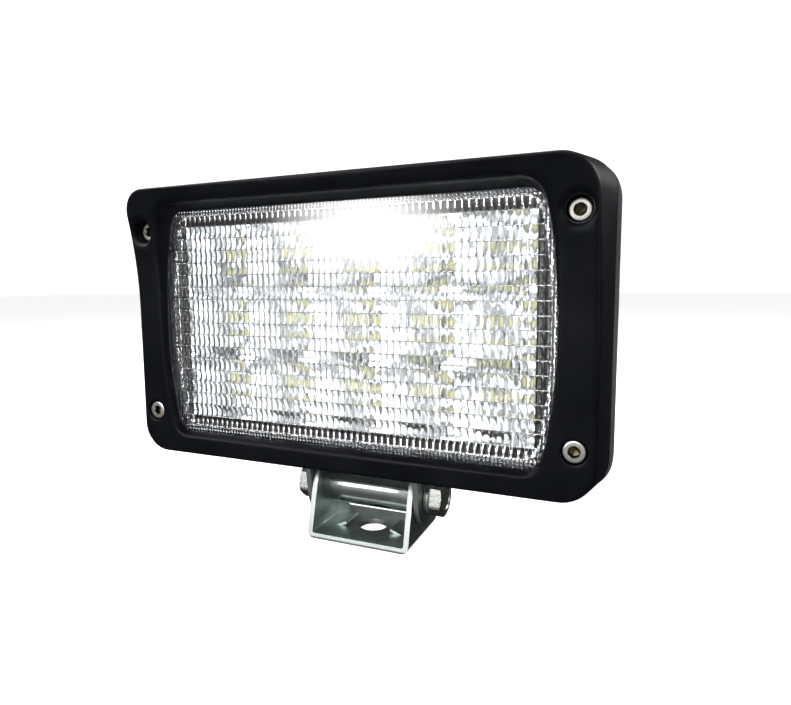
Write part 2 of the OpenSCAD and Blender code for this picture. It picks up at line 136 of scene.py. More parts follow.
def noise_tex(tree, vector, scale, detail=4.0, roughness=0.55):
    tex = tree.nodes.new("ShaderNodeTexNoise")
    tex.inputs["Scale"].default_value = scale
    tex.inputs["Detail"].default_value = detail
    tex.inputs["Roughness"].default_value = roughness
    tree.links.new(vector, tex.inputs["Vector"])
    return tex.outputs["Fac"]


def two_tone(tree, noise, dark, light, low=NOISE_LOW, high=NOISE_HIGH):
    """A colour that goes from dark to light as the noise goes from low to high."""
    node = tree.nodes.new("ShaderNodeValToRGB")
    for element, place, colour in zip(node.color_ramp.elements, (low, high), (dark, light)):
        element.position = place
        element.color = (*colour, 1.0)
    tree.links.new(noise, node.inputs["Fac"])
    return node.outputs["Color"]


def map_range(tree, value, start, end, low=0.0, high=1.0):
    """A value that goes from low to high as the given one goes from start to end."""
    node = tree.nodes.new("ShaderNodeMapRange")
    node.inputs["From Min"].default_value = start
    node.inputs["From Max"].default_value = end
    node.inputs["To Min"].default_value = low
    node.inputs["To Max"].default_value = high
    tree.links.new(value, node.inputs["Value"])
    return node.outputs["Result"]


def by_noise(tree, noise, span):
    return map_range(tree, noise, NOISE_LOW, NOISE_HIGH, *span)


def separate(tree, vector):
    split = tree.nodes.new("ShaderNodeSeparateXYZ")
    tree.links.new(vector, split.inputs["Vector"])
    return split


def bump(tree, shader, height, strength, distance):
    node = tree.nodes.new("ShaderNodeBump")
    node.inputs["Strength"].default_value = strength
    node.inputs["Distance"].default_value = distance
    tree.links.new(height, node.inputs["Height"])
    tree.links.new(node.outputs["Normal"], shader.inputs["Normal"])


def powder_coat(name, dark, light, rough, specular, grain_depth):
    mat, tree, shader = new_material(name)
    vec = object_coords(tree)
    broad = noise_tex(tree, vec, 35.0, 3.0)
    grain = noise_tex(tree, vec, 2200.0, 3.0, 0.6)
    tree.links.new(two_tone(tree, broad, dark, light), shader.inputs["Base Color"])
    tree.links.new(by_noise(tree, broad, rough), shader.inputs["Roughness"])
    shader.inputs["Specular IOR Level"].default_value = specular
    bump(tree, shader, grain, 0.5, grain_depth)
    return mat


def metal(name, dark, light, rough, streak=(1.0, 1.0, 1.0), grain=900.0, depth=0.00003):
    mat, tree, shader = new_material(name)
    vec = object_coords(tree)
    fine = noise_tex(tree, object_coords(tree, streak), grain, 5.0)
    broad = noise_tex(tree, vec, 70.0, 4.0, 0.6)
    tree.links.new(two_tone(tree, broad, dark, light, 0.32, 0.68), shader.inputs["Base Color"])
    tree.links.new(by_noise(tree, fine, rough), shader.inputs["Roughness"])
    shader.inputs["Metallic"].default_value = 1.0
    bump(tree, shader, fine, 0.5, depth)
    return mat


def mix_colours(tree, shader, plain, other, amount):
    """Blends the base colour from the plain socket to the other colour by amount."""
    blend = tree.nodes.new("ShaderNodeMix")
    blend.data_type = "RGBA"
    colours = [i for i in blend.inputs if i.type == "RGBA"]
    colours[1].default_value = (*other, 1.0)
    tree.links.new(amount, blend.inputs["Factor"])
    tree.links.new(plain, colours[0])
    tree.links.new(next(o for o in blend.outputs if o.type == "RGBA"), shader.inputs["Base Color"])


def tint_by_facing(mat, colour, start, end):
    """Blends a material to another colour as the y of its surface's normal goes from start
    to end. A surface that faces straight forwards has -1."""
    tree = mat.node_tree
    shader = shader_of(tree)
    plain = shader.inputs["Base Color"].links[0].from_socket
    coord = tree.nodes.new("ShaderNodeTexCoord")
    split = separate(tree, coord.outputs["Normal"])
    mix_colours(tree, shader, plain, colour, map_range(tree, split.outputs["Y"], start, end))
    return mat


def zinc_with_painted_front_highlight(name, dark, light, edge):
    """Zinc plate with a painted highlight, lighter on surfaces that face forwards, such as cut
    edges.
    """
    mat = metal(name, dark, light, (0.32, 0.50), (1.0, 6.0, 1.0), 500.0, 0.00003)
    # Painted highlight: forward-facing surfaces blend to the lighter edge colour
    return tint_by_facing(mat, edge, -0.35, -0.75)


def front_plating(name, dark, light, bare):
    """Plating on the surfaces that face forwards, near black on the rest, such as the skirt."""
    mat = metal(name, dark, light, (0.08, 0.18), depth=0.00002)
    return tint_by_facing(mat, bare, -0.30, -0.12)


def steel_with_painted_socket_shade(name, dark, light, socket_shade):
    """Stainless steel with painted shade, dark brown behind the screw's face and in its socket."""
    mat = metal(name, dark, light, (0.26, 0.36), grain=1500.0, depth=0.00001)
    tree = mat.node_tree
    shader = shader_of(tree)
    bright = shader.inputs["Base Color"].links[0].from_socket
    split = separate(tree, object_coords(tree))
    # Painted shade: the colour darkens from 0.15 mm to 1.1 mm behind the head's face
    start, end = (LAMP_Y + depth * MM for depth in (0.15, 1.1))
    mix_colours(tree, shader, bright, socket_shade, map_range(tree, split.outputs["Y"], start, end))
    return mat


def plastic(name, dark, light, rough, grain=1200.0, depth=0.00004, scale=80.0):
    mat, tree, shader = new_material(name)
    vec = object_coords(tree)
    broad = noise_tex(tree, vec, scale, 4.0)
    fine = noise_tex(tree, vec, grain, 3.0)
    tree.links.new(two_tone(tree, broad, dark, light), shader.inputs["Base Color"])
    tree.links.new(by_noise(tree, broad, rough), shader.inputs["Roughness"])
    bump(tree, shader, fine, 0.3, depth)
    return mat


def lens_clear():
    mat, tree, shader = new_material("lens_clear")
    vec = object_coords(tree)
    broad = noise_tex(tree, vec, 40.0, 2.0)
    clear = two_tone(tree, broad, (0.94, 0.965, 0.975), (0.985, 0.995, 1.0))
    tree.links.new(clear, shader.inputs["Base Color"])
    tree.links.new(by_noise(tree, broad, (0.015, 0.04)), shader.inputs["Roughness"])
    shader.inputs["Transmission Weight"].default_value = 1.0
    shader.inputs["Specular IOR Level"].default_value = 0.15
    shader.inputs["Coat Weight"].default_value = 0.3
    shader.inputs["Coat Roughness"].default_value = 0.30
    shader.inputs["IOR"].default_value = 1.49
    return mat


MAT = {
    "black_powder_coat": powder_coat(
        "powder_coat", (0.0010, 0.0013, 0.0022), (0.0020, 0.0025, 0.0036), (0.30, 0.44),
        specular=0.08, grain_depth=0.00018
    ),
    "cast_housing": powder_coat(
        "cast_housing", (0.034, 0.038, 0.041), (0.060, 0.066, 0.070), (0.42, 0.58),
        specular=0.30, grain_depth=0.00022
    ),
    "silicone_seal": plastic(
        "grey_silicone", (0.012, 0.015, 0.028), (0.030, 0.035, 0.056), (0.25, 0.40)
    ),
    # Painted highlight: the lighter colour on the bracket's forward-facing surfaces
    "zinc_plate": zinc_with_painted_front_highlight(
        "zinc_plate", (0.27, 0.325, 0.31), (0.44, 0.51, 0.49), edge=(0.50, 0.54, 0.52)
    ),
    "polished_tube": metal(
        "polished_tube", (0.40, 0.44, 0.42), (0.54, 0.57, 0.55), (0.14, 0.24),
        streak=(0.12, 6.0, 6.0), grain=700.0, depth=0.00001
    ),
    "zinc_bolt": metal("zinc_bolt", (0.54, 0.57, 0.53), (0.74, 0.76, 0.71), (0.22, 0.38)),
    "fastener_steel": metal("fastener_steel", (0.58, 0.57, 0.54), (0.74, 0.73, 0.69), (0.20, 0.34)),
    "rubber_seal": plastic(
        "rubber_seal", (0.010, 0.010, 0.011), (0.020, 0.020, 0.021), (0.65, 0.85)
    ),
    "lens_glass": lens_clear(),
    # bare is the near-black colour of the surfaces that don't face forwards, such as the skirt
    "reflector_plating": front_plating(
        "reflector_plating", (0.86, 0.87, 0.88), (0.95, 0.96, 0.97), bare=(0.008, 0.009, 0.012)
    ),
    "board_white": plastic("board_white", (0.72, 0.73, 0.71), (0.84, 0.85, 0.83), (0.25, 0.40)),
    "led_phosphor": plastic(
        "led_phosphor", (0.84, 0.77, 0.30), (0.94, 0.89, 0.46), (0.20, 0.35), scale=300.0
    ),
    "thermal_pad": plastic("thermal_pad", (0.36, 0.50, 0.60), (0.46, 0.60, 0.70), (0.70, 0.90)),
    "board_green": plastic("board_green", (0.010, 0.10, 0.04), (0.02, 0.16, 0.07), (0.20, 0.35)),
    "brass_standoff": metal("brass_standoff", (0.55, 0.40, 0.16), (0.72, 0.54, 0.24), (0.20, 0.34)),
    "choke_winding": metal(
        "choke_winding", (0.30, 0.09, 0.03), (0.50, 0.18, 0.07), (0.25, 0.40),
        streak=(1.0, 8.0, 1.0), grain=300.0, depth=0.0002
    ),
    "capacitor_can": plastic(
        "capacitor_can", (0.015, 0.02, 0.06), (0.03, 0.04, 0.11), (0.18, 0.30)
    ),
    "chip_black": plastic(
        "chip_black", (0.012, 0.012, 0.012), (0.025, 0.025, 0.025), (0.50, 0.70)
    ),
    "terminal_green": plastic(
        "terminal_green", (0.02, 0.18, 0.07), (0.04, 0.28, 0.11), (0.35, 0.50)
    ),
    "lead_sleeve": plastic("lead_sleeve", (0.35, 0.02, 0.015), (0.50, 0.04, 0.03), (0.40, 0.55)),
    "black_nylon": plastic(
        "black_nylon", (0.010, 0.010, 0.011), (0.020, 0.020, 0.022), (0.42, 0.60)
    ),
}
# Steel of the bezel screws, with painted shade in the socket and round the head
BEZEL_SCREW_SHADED_STEEL = steel_with_painted_socket_shade(
    "bezel_screw_steel_painted_shade", (0.66, 0.64, 0.60), (0.78, 0.76, 0.72), socket_shade=(0.085, 0.068, 0.040)
)
SLOT_OF = {row["node"]: row["material_slot"] for row in frame["record"]["subparts"]}


# Mesh helpers ---------------------------------------------------------------------

def new_object(name, verts, faces):
    """A mesh object whose faces all point outwards."""
    mesh = bpy.data.meshes.new(name)
    mesh.from_pydata([tuple(v) for v in verts], [], faces)
    bm = bmesh.new()
    bm.from_mesh(mesh)
    bmesh.ops.recalc_face_normals(bm, faces=bm.faces)
    bm.to_mesh(mesh)
    bm.free()
    obj = bpy.data.objects.new(name, mesh)
    bpy.context.scene.collection.objects.link(obj)
    return obj


def shade(obj, angle):
    """Shades obj smooth, apart from edges that turn more than angle degrees."""
    obj.data.shade_smooth()
    obj.data.set_sharp_from_angle(angle=math.radians(angle))


def make_piece(name, verts, faces, body, slot, replaces=(), smooth=35.0):
    obj = new_object(name, verts, faces)
    shade(obj, smooth)
    obj.data.materials.append(MAT[slot])
    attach(obj, body)
    if replaces:
        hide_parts(*replaces)
    return obj


def join_loops(loops, cap_start=True, cap_end=True, closed=False):
    """Vertices and faces of a skin over loops of equal length."""
    n = len(loops[0])
    verts = [p for loop in loops for p in loop]
    faces = []
    last = len(loops) if closed else len(loops) - 1
    for k in range(last):
        a, b = k * n, ((k + 1) % len(loops)) * n
        faces += [(a + i, a + (i + 1) % n, b + (i + 1) % n, b + i) for i in range(n)]
    if not closed and cap_start:
        faces.append(tuple(range(n)))
    if not closed and cap_end:
        faces.append(tuple(range((len(loops) - 1) * n, len(loops) * n)))
    return verts, faces


def add_parts(parts):
    """One vertex and face list out of several."""
    verts, faces = [], []
    for v, f in parts:
        base = len(verts)
        verts += v
        faces += [tuple(i + base for i in face) for face in f]
    return verts, faces


# Outlines, with the same count of points on every side and corner ------------------

SIDE_N, TOP_N, CORNER_N = 26, 44, 12


def arc(cx, cz, r, start, end, n, ends=True):
    steps = range(n) if ends else range(1, n + 1)
    span = n - 1 if ends else n + 1
    return [
        (cx + r * math.cos(math.radians(start + (end - start) * k / span)),
         cz + r * math.sin(math.radians(start + (end - start) * k / span)))
        for k in steps
    ]


def line(a, b, n):
    return [
        (a[0] + (b[0] - a[0]) * k / (n + 1), a[1] + (b[1] - a[1]) * k / (n + 1))
        for k in range(1, n + 1)
    ]


def full_outline(right, corner):
    """The whole outline from its right side and its top right corner, by symmetry."""
    top_right, bottom_right = corner, [(x, -z) for x, z in reversed(corner)]
    top_left = [(-x, z) for x, z in reversed(corner)]
    bottom_left = [(-x, -z) for x, z in corner]
    left = [(-x, -z) for x, z in right]
    return (
        right + top_right + line(top_right[-1], top_left[0], TOP_N) + top_left + left
        + bottom_left + line(bottom_left[-1], bottom_right[0], TOP_N) + bottom_right
    )


def rect_outline(w, h, r):
    x, z = w / 2, h / 2 - r
    corner = arc(x - r, z, r, 0.0, 90.0, CORNER_N)
    return full_outline(line((x, -z), (x, z), SIDE_N), corner)


def lens_outline(grow=0.0):
    turn = math.degrees(LENS_TURN)
    right = arc(-LENS_SIDE_X, 0.0, LENS_SIDE_R + grow, -turn, turn, SIDE_N, ends=False)
    corner = arc(LENS_CORNER_X, LENS_CORNER_Z, LENS_R + grow, turn, 90.0, CORNER_N)
    return full_outline(right, corner)


def lip_outline():
    """The front edge of the bezel's opening. Its bevel is wide above and below, and narrow at
    the sides."""
    sides, tops = lens_outline(LIP_SIDE), lens_outline(LIP_TOP)
    return [(side[0], top[1]) for side, top in zip(sides, tops)]


def face_depth(z):
    """How far forward the bezel's front face is, at height z."""
    if z <= VISOR_START:
        return FACE_Y
    return FACE_Y - (VISOR_R - math.sqrt(VISOR_R ** 2 - (z - VISOR_START) ** 2))


def face_slope(z):
    """The change in y for each step up the bezel's front face, at height z."""
    if z <= VISOR_START:
        return 0.0
    return -(z - VISOR_START) / math.sqrt(VISOR_R ** 2 - (z - VISOR_START) ** 2)


def mix(a, b, t):
    return tuple(u + (v - u) * t for u, v in zip(a, b))


def curve(a, control, b, n):
    """n + 1 points of the quadratic curve from a to b."""
    return [mix(mix(a, control, k / n), mix(control, b, k / n), k / n) for k in range(n + 1)]


# Bezel ----------------------------------------------------------------------------

# Roundings of the face's outer edge, of the opening's lip, and of the lip under the visor
EDGE_ROUND, LIP_ROUND, DEEP_ROUND = 2.2, 1.1, 4.6
# Under the visor the face stands DEEP_FACE or more in front of its flat part. There the way
# in to the lens is straight, and elsewhere it is a bevel. Turns and tops are where the lip's
# rounding ends and the point after it: shares of the bevel, or millimetres of the straight.
DEEP_FACE, STRAIGHT_TURN, STRAIGHT_LEAN, STRAIGHT_TOP = 2.0, 2.4, 0.05, 0.2
BEVEL_TURN, BEVEL_TOP, BEVEL_STEP = 0.22, 0.30, 0.3
BACK_CHAMFER, LENS_POCKET = 0.6, 3.6
WALL_CUTS, EDGE_CUTS, FACE_CUTS, LIP_CUTS = 7, 7, 12, 5


def bezel_section(front, back, lip, bare, pocket):
    """The bezel's cross section at one place round it, as (x, y, z) points in order. The
    (x, z) points given are where it meets the front and back outlines, the opening's front
    edge, the bare edge of the lens, and the pocket that the lens sits in."""
    def wall(y):
        t = (y - TIP_Y) / (BACK_Y - TIP_Y)
        x, z = mix(front, back, t)
        return (x, y, z)

    # The wall leans and the face curves, so where they meet is found in a few rounds
    edge_y = FACE_Y
    for _ in range(8):
        edge_y = face_depth(wall(edge_y)[2])
    edge = wall(edge_y)

    def on_face(t):
        x, z = mix((edge[0], edge[2]), lip, t)
        return (x, face_depth(z), z)

    span = math.dist((edge[0], edge[2]), lip)
    lip_edge = (lip[0], face_depth(lip[1]), lip[1])
    deep = min(1.0, (FACE_Y - lip_edge[1]) / DEEP_FACE)
    t0, t1 = EDGE_ROUND / span, 1.0 - (LIP_ROUND + (DEEP_ROUND - LIP_ROUND) * deep) / span
    bevel_end = (bare[0], LIP_Y - BEVEL_STEP, bare[1])
    bevel_turn = mix(lip_edge, bevel_end, BEVEL_TURN)
    bevel_top = mix(lip_edge, bevel_end, BEVEL_TOP)
    straight_turn = (lip[0], lip_edge[1] + STRAIGHT_TURN, lip[1])
    straight_x, straight_z = mix(lip, bare, STRAIGHT_LEAN)
    straight_top = (straight_x, FACE_Y + STRAIGHT_TOP, straight_z)
    wall_start, wall_end = BACK_Y - BACK_CHAMFER, edge_y + EDGE_ROUND
    wall_step = (wall_start - edge_y - EDGE_ROUND) / WALL_CUTS
    points = [wall(wall_start - wall_step * k) for k in range(WALL_CUTS)]
    points += curve(wall(wall_end), edge, on_face(t0), EDGE_CUTS)
    points += [on_face(t0 + (t1 - t0) * k / FACE_CUTS) for k in range(1, FACE_CUTS)]
    points += curve(on_face(t1), lip_edge, mix(bevel_turn, straight_turn, deep), LIP_CUTS)
    points += [mix(bevel_top, straight_top, deep), bevel_end, (bare[0], LIP_Y, bare[1])]
    points += [(pocket[0], LIP_Y, pocket[1]), (pocket[0], BACK_Y, pocket[1])]
    back_x, back_z = mix(back, pocket, BACK_CHAMFER / math.dist(back, pocket))
    points.append((back_x, BACK_Y, back_z))
    return points


ROUND = 72                                  # points in one loop of a round shape
BORE_R, BORE_FLOOR = 4.8, 5.0
# The flare is deeper where the face is further forward, and a deeper flare opens wider
FLARE_MOST, FLARE_SHARE = 2.4, 0.75
OPENING_R, OPENING_GROWTH = 5.3, 0.7


def counterbore(x, z):
    """The cutter of one screw's counterbore, flared where it meets the face."""
    y = face_depth(z)
    flare = min(FLARE_MOST, -FLARE_SHARE * y)
    opening = OPENING_R + OPENING_GROWTH * flare
    # Radius and depth of each ring, and whether it leans as the face does
    rings = [
        (BORE_R, BORE_FLOOR, False),
        (BORE_R, y + flare, True),
        (5.05, y + 0.7 * flare, True),
        (5.55, y + 0.4 * flare, True),
        (opening - 0.55, y + 0.14 * flare, True),
        (opening, y - 0.06, True),
        (opening + 0.7, y - 0.5, True),
        (opening + 1.1, y - 3.0, True),
    ]
    loops = []
    for r, depth, leans in rings:
        slope = face_slope(z) if leans else 0.0
        loop = []
        for k in range(ROUND):
            across, up = (r * f(2 * math.pi * k / ROUND) for f in (math.cos, math.sin))
            loop.append(lamp(x + across, depth + slope * up, z + up))
        loops.append(loop)
    return join_loops(loops)


def cut(obj, cutters):
    """Takes the cutters out of obj, and the modifiers and cutters away again."""
    for cutter in cutters:
        mod = obj.modifiers.new("cut", "BOOLEAN")
        mod.operation = "DIFFERENCE"
        mod.solver = "EXACT"
        mod.object = cutter
    settle(obj)
    for cutter in cutters:
        bpy.data.objects.remove(cutter)


def settle(obj):
    """Applies obj's modifiers to its mesh."""
    graph = bpy.context.evaluated_depsgraph_get()
    mesh = bpy.data.meshes.new_from_object(obj.evaluated_get(graph))
    obj.modifiers.clear()
    obj.data = mesh


def make_bezel():
    rows = zip(
        rect_outline(FRONT_W, FRONT_H, FRONT_R), rect_outline(BACK_W, BACK_H, BACK_R),
        lip_outline(), lens_outline(), lens_outline(LENS_POCKET)
    )
    sections = [[lamp(*p) for p in bezel_section(*row)] for row in rows]
    verts, faces = join_loops(sections, closed=True)
    obj = make_piece("bezel_casting", verts, faces, "lamp", "black_powder_coat", ["bezel"])
    cut(obj, [new_object("cutter", *counterbore(x, z)) for x, z in SCREW_PLACES])
    shade(obj, 38.0)


make_bezel()

# Lens -----------------------------------------------------------------------------

# Flutes run up and down and bands run across, both on the lens's back. The flutes are
# deeper in the bands past OUTER_BAND, and a fine knurl goes round the border.
FLUTE, BAND = 2.86, 5.6
FLUTE_DEPTH, BAND_DEPTH = 0.50, 0.85
FLUTE_CUTS = 7
BAND_ROWS = (0.0, 0.04, 0.16, 0.33, 0.5, 0.67, 0.84, 0.96)
GROOVE_DEPTH, GROOVE_EDGE = 0.30, 0.995
OUTER_BAND, OUTER_FLUTE_DEPTH = 44.9, 0.95
KNURL, KNURL_DEPTH, KNURL_WIDTH = 4 * FLUTE / FLUTE_CUTS, 0.55, 2.4
KNURL_STEP, KNURL_LIFT = 0.375, 0.70
KNURL_OUTSIDE, KNURL_REACH = 2.5, 1.0       # rows outside the border, and extra width inside it
LENS_FLANGE, LENS_END = 2.8, 0.02           # the last column stops LENS_END short of the end
LENS_SURFACE_Y = LENS_BACK_Y - 0.5          # the level that the pillows rise from
LENS_MERGE = 0.000004                       # in metres


def lens_half_height(x):
    """Half the lens's height at x, with its hidden flange."""
    r = LENS_R + LENS_FLANGE
    x = abs(x)
    if x <= LENS_CORNER_X:
        return LENS_H / 2 + LENS_FLANGE
    if x <= LENS_CORNER_X + r * math.cos(LENS_TURN):
        return LENS_CORNER_Z + math.sqrt(r * r - (x - LENS_CORNER_X) ** 2)
    return math.sqrt(max((LENS_SIDE_R + LENS_FLANGE) ** 2 - (x + LENS_SIDE_X) ** 2, 0.25))


def border_distance(x, z):
    """How far inside the visible lens outline a point is."""
    x, z = abs(x), abs(z)
    if x > LENS_CORNER_X and z > LENS_CORNER_Z:
        return LENS_R - math.hypot(x - LENS_CORNER_X, z - LENS_CORNER_Z)
    return min(LENS_H / 2 - z, math.sqrt(LENS_SIDE_R ** 2 - z * z) - LENS_SIDE_X - x)


def pillow(x, z):
    """How far the lens's back bulges towards the reflector at one point."""
    if border_distance(x, z) < KNURL_WIDTH:
        top = LENS_H / 2 - abs(z) < KNURL_WIDTH
        pitch = 4 * KNURL_STEP if top else BAND / 2
        u = 2 * ((x / KNURL) % 1.0) - 1
        w = 2 * (((LENS_H / 2 - abs(z) if top else z) / pitch) % 1.0) - 1
        return KNURL_DEPTH * (2 - u * u - w * w) - KNURL_LIFT
    u = 2 * ((x / FLUTE) % 1.0) - 1
    w = 2 * ((z / BAND) % 1.0) - 1
    depth = OUTER_FLUTE_DEPTH if abs(z) > OUTER_BAND else FLUTE_DEPTH
    groove = GROOVE_DEPTH if abs(w) > GROOVE_EDGE else 0.0
    return depth * (1 - u * u) + BAND_DEPTH * (1 - w * w) - groove


def make_lens():
    reach = LENS_W / 2 + LENS_FLANGE - LENS_END
    step = FLUTE / FLUTE_CUTS
    inner = int(reach / step)
    xs = [-reach] + [k * step for k in range(-inner, inner + 1)] + [reach]
    bands = int((LENS_H / 2 + LENS_FLANGE) / BAND) + 1
    heights = [(k + part) * BAND for k in range(-bands, bands) for part in BAND_ROWS]
    for k in range(int((KNURL_WIDTH + KNURL_REACH) / KNURL_STEP)):
        row = LENS_H / 2 - (k - KNURL_OUTSIDE) * KNURL_STEP
        heights += [-row, row]
    heights.sort()
    verts = []
    for x in xs:
        half = lens_half_height(x)
        for height in heights:
            z = max(-half, min(half, height))
            verts.append(lamp(x, LENS_SURFACE_Y + pillow(x, z), z))
    n = len(heights)
    faces = []
    for i in range(len(xs) - 1):
        a, b = i * n, (i + 1) * n
        faces += [(a + k, a + k + 1, b + k + 1, b + k) for k in range(n - 1)]
    obj = make_piece("lens_fluted", verts, faces, "lamp", "lens_glass", ["lens"], smooth=30.0)
    bm = bmesh.new()
    bm.from_mesh(obj.data)
    bmesh.ops.remove_doubles(bm, verts=bm.verts, dist=LENS_MERGE)
    rim = [e for e in bm.edges if e.is_boundary]
    made = bmesh.ops.extrude_edge_only(bm, edges=rim)["geom"]
    for v in made:
        if isinstance(v, bmesh.types.BMVert):
            v.co.y = LAMP_Y + LENS_Y * MM
    front = [e for e in made if isinstance(e, bmesh.types.BMEdge) and e.is_boundary]
    bmesh.ops.contextual_create(bm, geom=front)
    bmesh.ops.recalc_face_normals(bm, faces=bm.faces)
    bm.to_mesh(obj.data)
    bm.free()
    shade(obj, 20.0)


make_lens()

# Reflector and emitters -----------------------------------------------------------

CELLS_ACROSS, CELLS_UP = 5, 3
CELL_W, CELL_H = 33.0, 30.0
CUP_Y, CUP_BACK_Y, CUP_HOLE = 10.5, 29.6, 5.6
CUP_FOCUS = 4.4
SIDE_CUTS, CUP_LOOPS = 16, 12
SIDE_MARGIN, TOP_MARGIN, SKIRT_Y = 0.4, 0.5, 31.5
CUP_WALL = 0.7
NEAR = 0.00002                              # in metres: points this close are the same


def cell_centres():
    return [
        ((i - CELLS_ACROSS // 2) * CELL_W, (j - CELLS_UP // 2) * CELL_H)
        for i in range(CELLS_ACROSS) for j in range(CELLS_UP)
    ]


def cup_depth(r):
    """The paraboloid of one cup, cut off level with the reflector's mouth."""
    return max(CUP_Y, CUP_BACK_Y - (r * r - CUP_HOLE ** 2) / (4 * CUP_FOCUS))


def cell_border():
    corners = [(-1, -1), (1, -1), (1, 1), (-1, 1)]
    points = []
    for k in range(4):
        a, b = corners[k], corners[(k + 1) % 4]
        for s in range(SIDE_CUTS):
            x, z = mix(a, b, s / SIDE_CUTS)
            points.append((x * CELL_W / 2, z * CELL_H / 2))
    return points


def reflector_cell(cx, cz):
    mouth_r = math.sqrt(CUP_HOLE ** 2 + 4 * CUP_FOCUS * (CUP_BACK_Y - CUP_Y))
    loops = []
    for k in range(CUP_LOOPS + 2):
        loop = []
        for x, z in cell_border():
            border = math.hypot(x, z)
            lip = min(border, mouth_r)
            r = border if k > CUP_LOOPS else CUP_HOLE + (lip - CUP_HOLE) * k / CUP_LOOPS
            loop.append(lamp(cx + x * r / border, cup_depth(r), cz + z * r / border))
        loops.append(loop)
    return join_loops(loops, cap_start=False, cap_end=False)


def make_reflector():
    parts = [reflector_cell(*c) for c in cell_centres()]
    obj = make_piece(
        "reflector_cups", *add_parts(parts), "lamp", "reflector_plating", ["reflector"]
    )
    bm = bmesh.new()
    bm.from_mesh(obj.data)
    bmesh.ops.remove_doubles(bm, verts=bm.verts, dist=NEAR)
    half_w, half_h = CELLS_ACROSS / 2 * CELL_W * MM, CELLS_UP / 2 * CELL_H * MM

    def on_rim(v):
        return abs(v.co.x) > half_w - NEAR or abs(v.co.z - LAMP_Z) > half_h - NEAR

    rim = [e for e in bm.edges if e.is_boundary and all(on_rim(v) for v in e.verts)]
    reach_x, reach_z = 1.0 + SIDE_MARGIN * MM / half_w, 1.0 + TOP_MARGIN * MM / half_h
    # Outwards over the margin in two steps, then over the edge and down the skirt
    for level, grow in ((CUP_Y, 0.1), (CUP_Y, 0.9), (CUP_Y + 1.0, 0.0), (SKIRT_Y, 0.0)):
        made = bmesh.ops.extrude_edge_only(bm, edges=rim)["geom"]
        for v in made:
            if isinstance(v, bmesh.types.BMVert):
                v.co.y = LAMP_Y + level * MM
                if grow:
                    v.co.x *= 1.0 + (reach_x - 1.0) * grow
                    v.co.z = LAMP_Z + (v.co.z - LAMP_Z) * (1.0 + (reach_z - 1.0) * grow)
        rim = [e for e in made if isinstance(e, bmesh.types.BMEdge) and e.is_boundary]
    bmesh.ops.recalc_face_normals(bm, faces=bm.faces)
    lowest = min(bm.faces, key=lambda f: f.calc_center_median().y)
    if lowest.normal.y > 0:
        bmesh.ops.reverse_faces(bm, faces=bm.faces)
    bm.to_mesh(obj.data)
    bm.free()
    shell = obj.modifiers.new("wall", "SOLIDIFY")
    shell.thickness = CUP_WALL * MM
    shell.offset = -1.0
    settle(obj)
    shade(obj, 25.0)


make_reflector()

# Heights above the board. A package tapers from its shoulder to its top, under its dome.
LED_HALF, LED_SHOULDER, LED_TOP, LED_TAPER = 3.4, 0.6, 0.8, 0.9
DOME_R, DOME_FOOT, DOME_RISE = 2.9, 0.75, 1.2
DOME_ROUND, DOME_LOOPS = 32, 7


def make_emitters():
    board_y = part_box("led_packages")[1][1]
    board = (board_y - LAMP_Y) / MM
    parts = []
    for cx, cz in cell_centres():
        square = [(s * LED_HALF, q * LED_HALF) for s, q in ((-1, -1), (1, -1), (1, 1), (-1, 1))]
        parts.append(join_loops([
            [lamp(cx + x * scale, board - height, cz + z * scale) for x, z in square]
            for height, scale in ((0.0, 1.0), (LED_SHOULDER, 1.0), (LED_TOP, LED_TAPER))
        ]))
        loops = []
        for k in range(DOME_LOOPS):
            t = math.radians(90.0 * k / DOME_LOOPS)
            r, y = DOME_R * math.cos(t), board - DOME_FOOT - DOME_RISE * math.sin(t)
            angles = [2 * math.pi * q / DOME_ROUND for q in range(DOME_ROUND)]
            loops.append([lamp(cx + r * math.cos(a), y, cz + r * math.sin(a)) for a in angles])
        parts.append(join_loops(loops))
    make_piece("emitters", *add_parts(parts), "lamp", "led_phosphor", ["led_packages"])


make_emitters()

# Fasteners ------------------------------------------------------------------------

def ring(place, r, depth, sides=0, turn=0.0):
    """One loop about a fastener's axis: round, or with that many sides of half-width r."""
    points = []
    for k in range(ROUND):
        a = 2 * math.pi * k / ROUND
        reach = r
        if sides:
            half = math.pi / sides
            off = (a - math.radians(turn) + half) % (2 * half) - half
            reach = r / math.cos(abs(off) - half)
        points.append(place(reach * math.cos(a), reach * math.sin(a), depth))
    return points


SOCKET_TURN = 20.0
SCREW_HEAD_R, SCREW_KEY, SCREW_HEAD, SCREW_LENGTH, SCREW_SHANK_R = 4.25, 4.0, 5.0, 25.0, 2.5


def cap_screw_rings(place, r, key, head, length, shank):
    """A socket head cap screw. Depth 0 is the head face and grows towards the thread."""
    # Radius, depth and number of sides of each ring: the socket, the head and the shank
    rows = [
        (0.2, head * 0.6 + 1.0, 0),
        (key / 2 * 0.96, head * 0.6, 6),
        (key / 2, 0.4, 6),
        (key / 2 + 0.36, 0.0, 0),
        (r - 0.75, 0.0, 0),
        (r - 0.35, 0.07, 0),
        (r - 0.1, 0.28, 0),
        (r, 0.62, 0),
        (r, head, 0),
        (shank + 0.3, head, 0),
        (shank, head + 0.3, 0),
        (shank, head + length - 0.5, 0),
        (shank - 0.5, head + length, 0),
    ]
    return [ring(place, radius, depth, sides, SOCKET_TURN) for radius, depth, sides in rows]


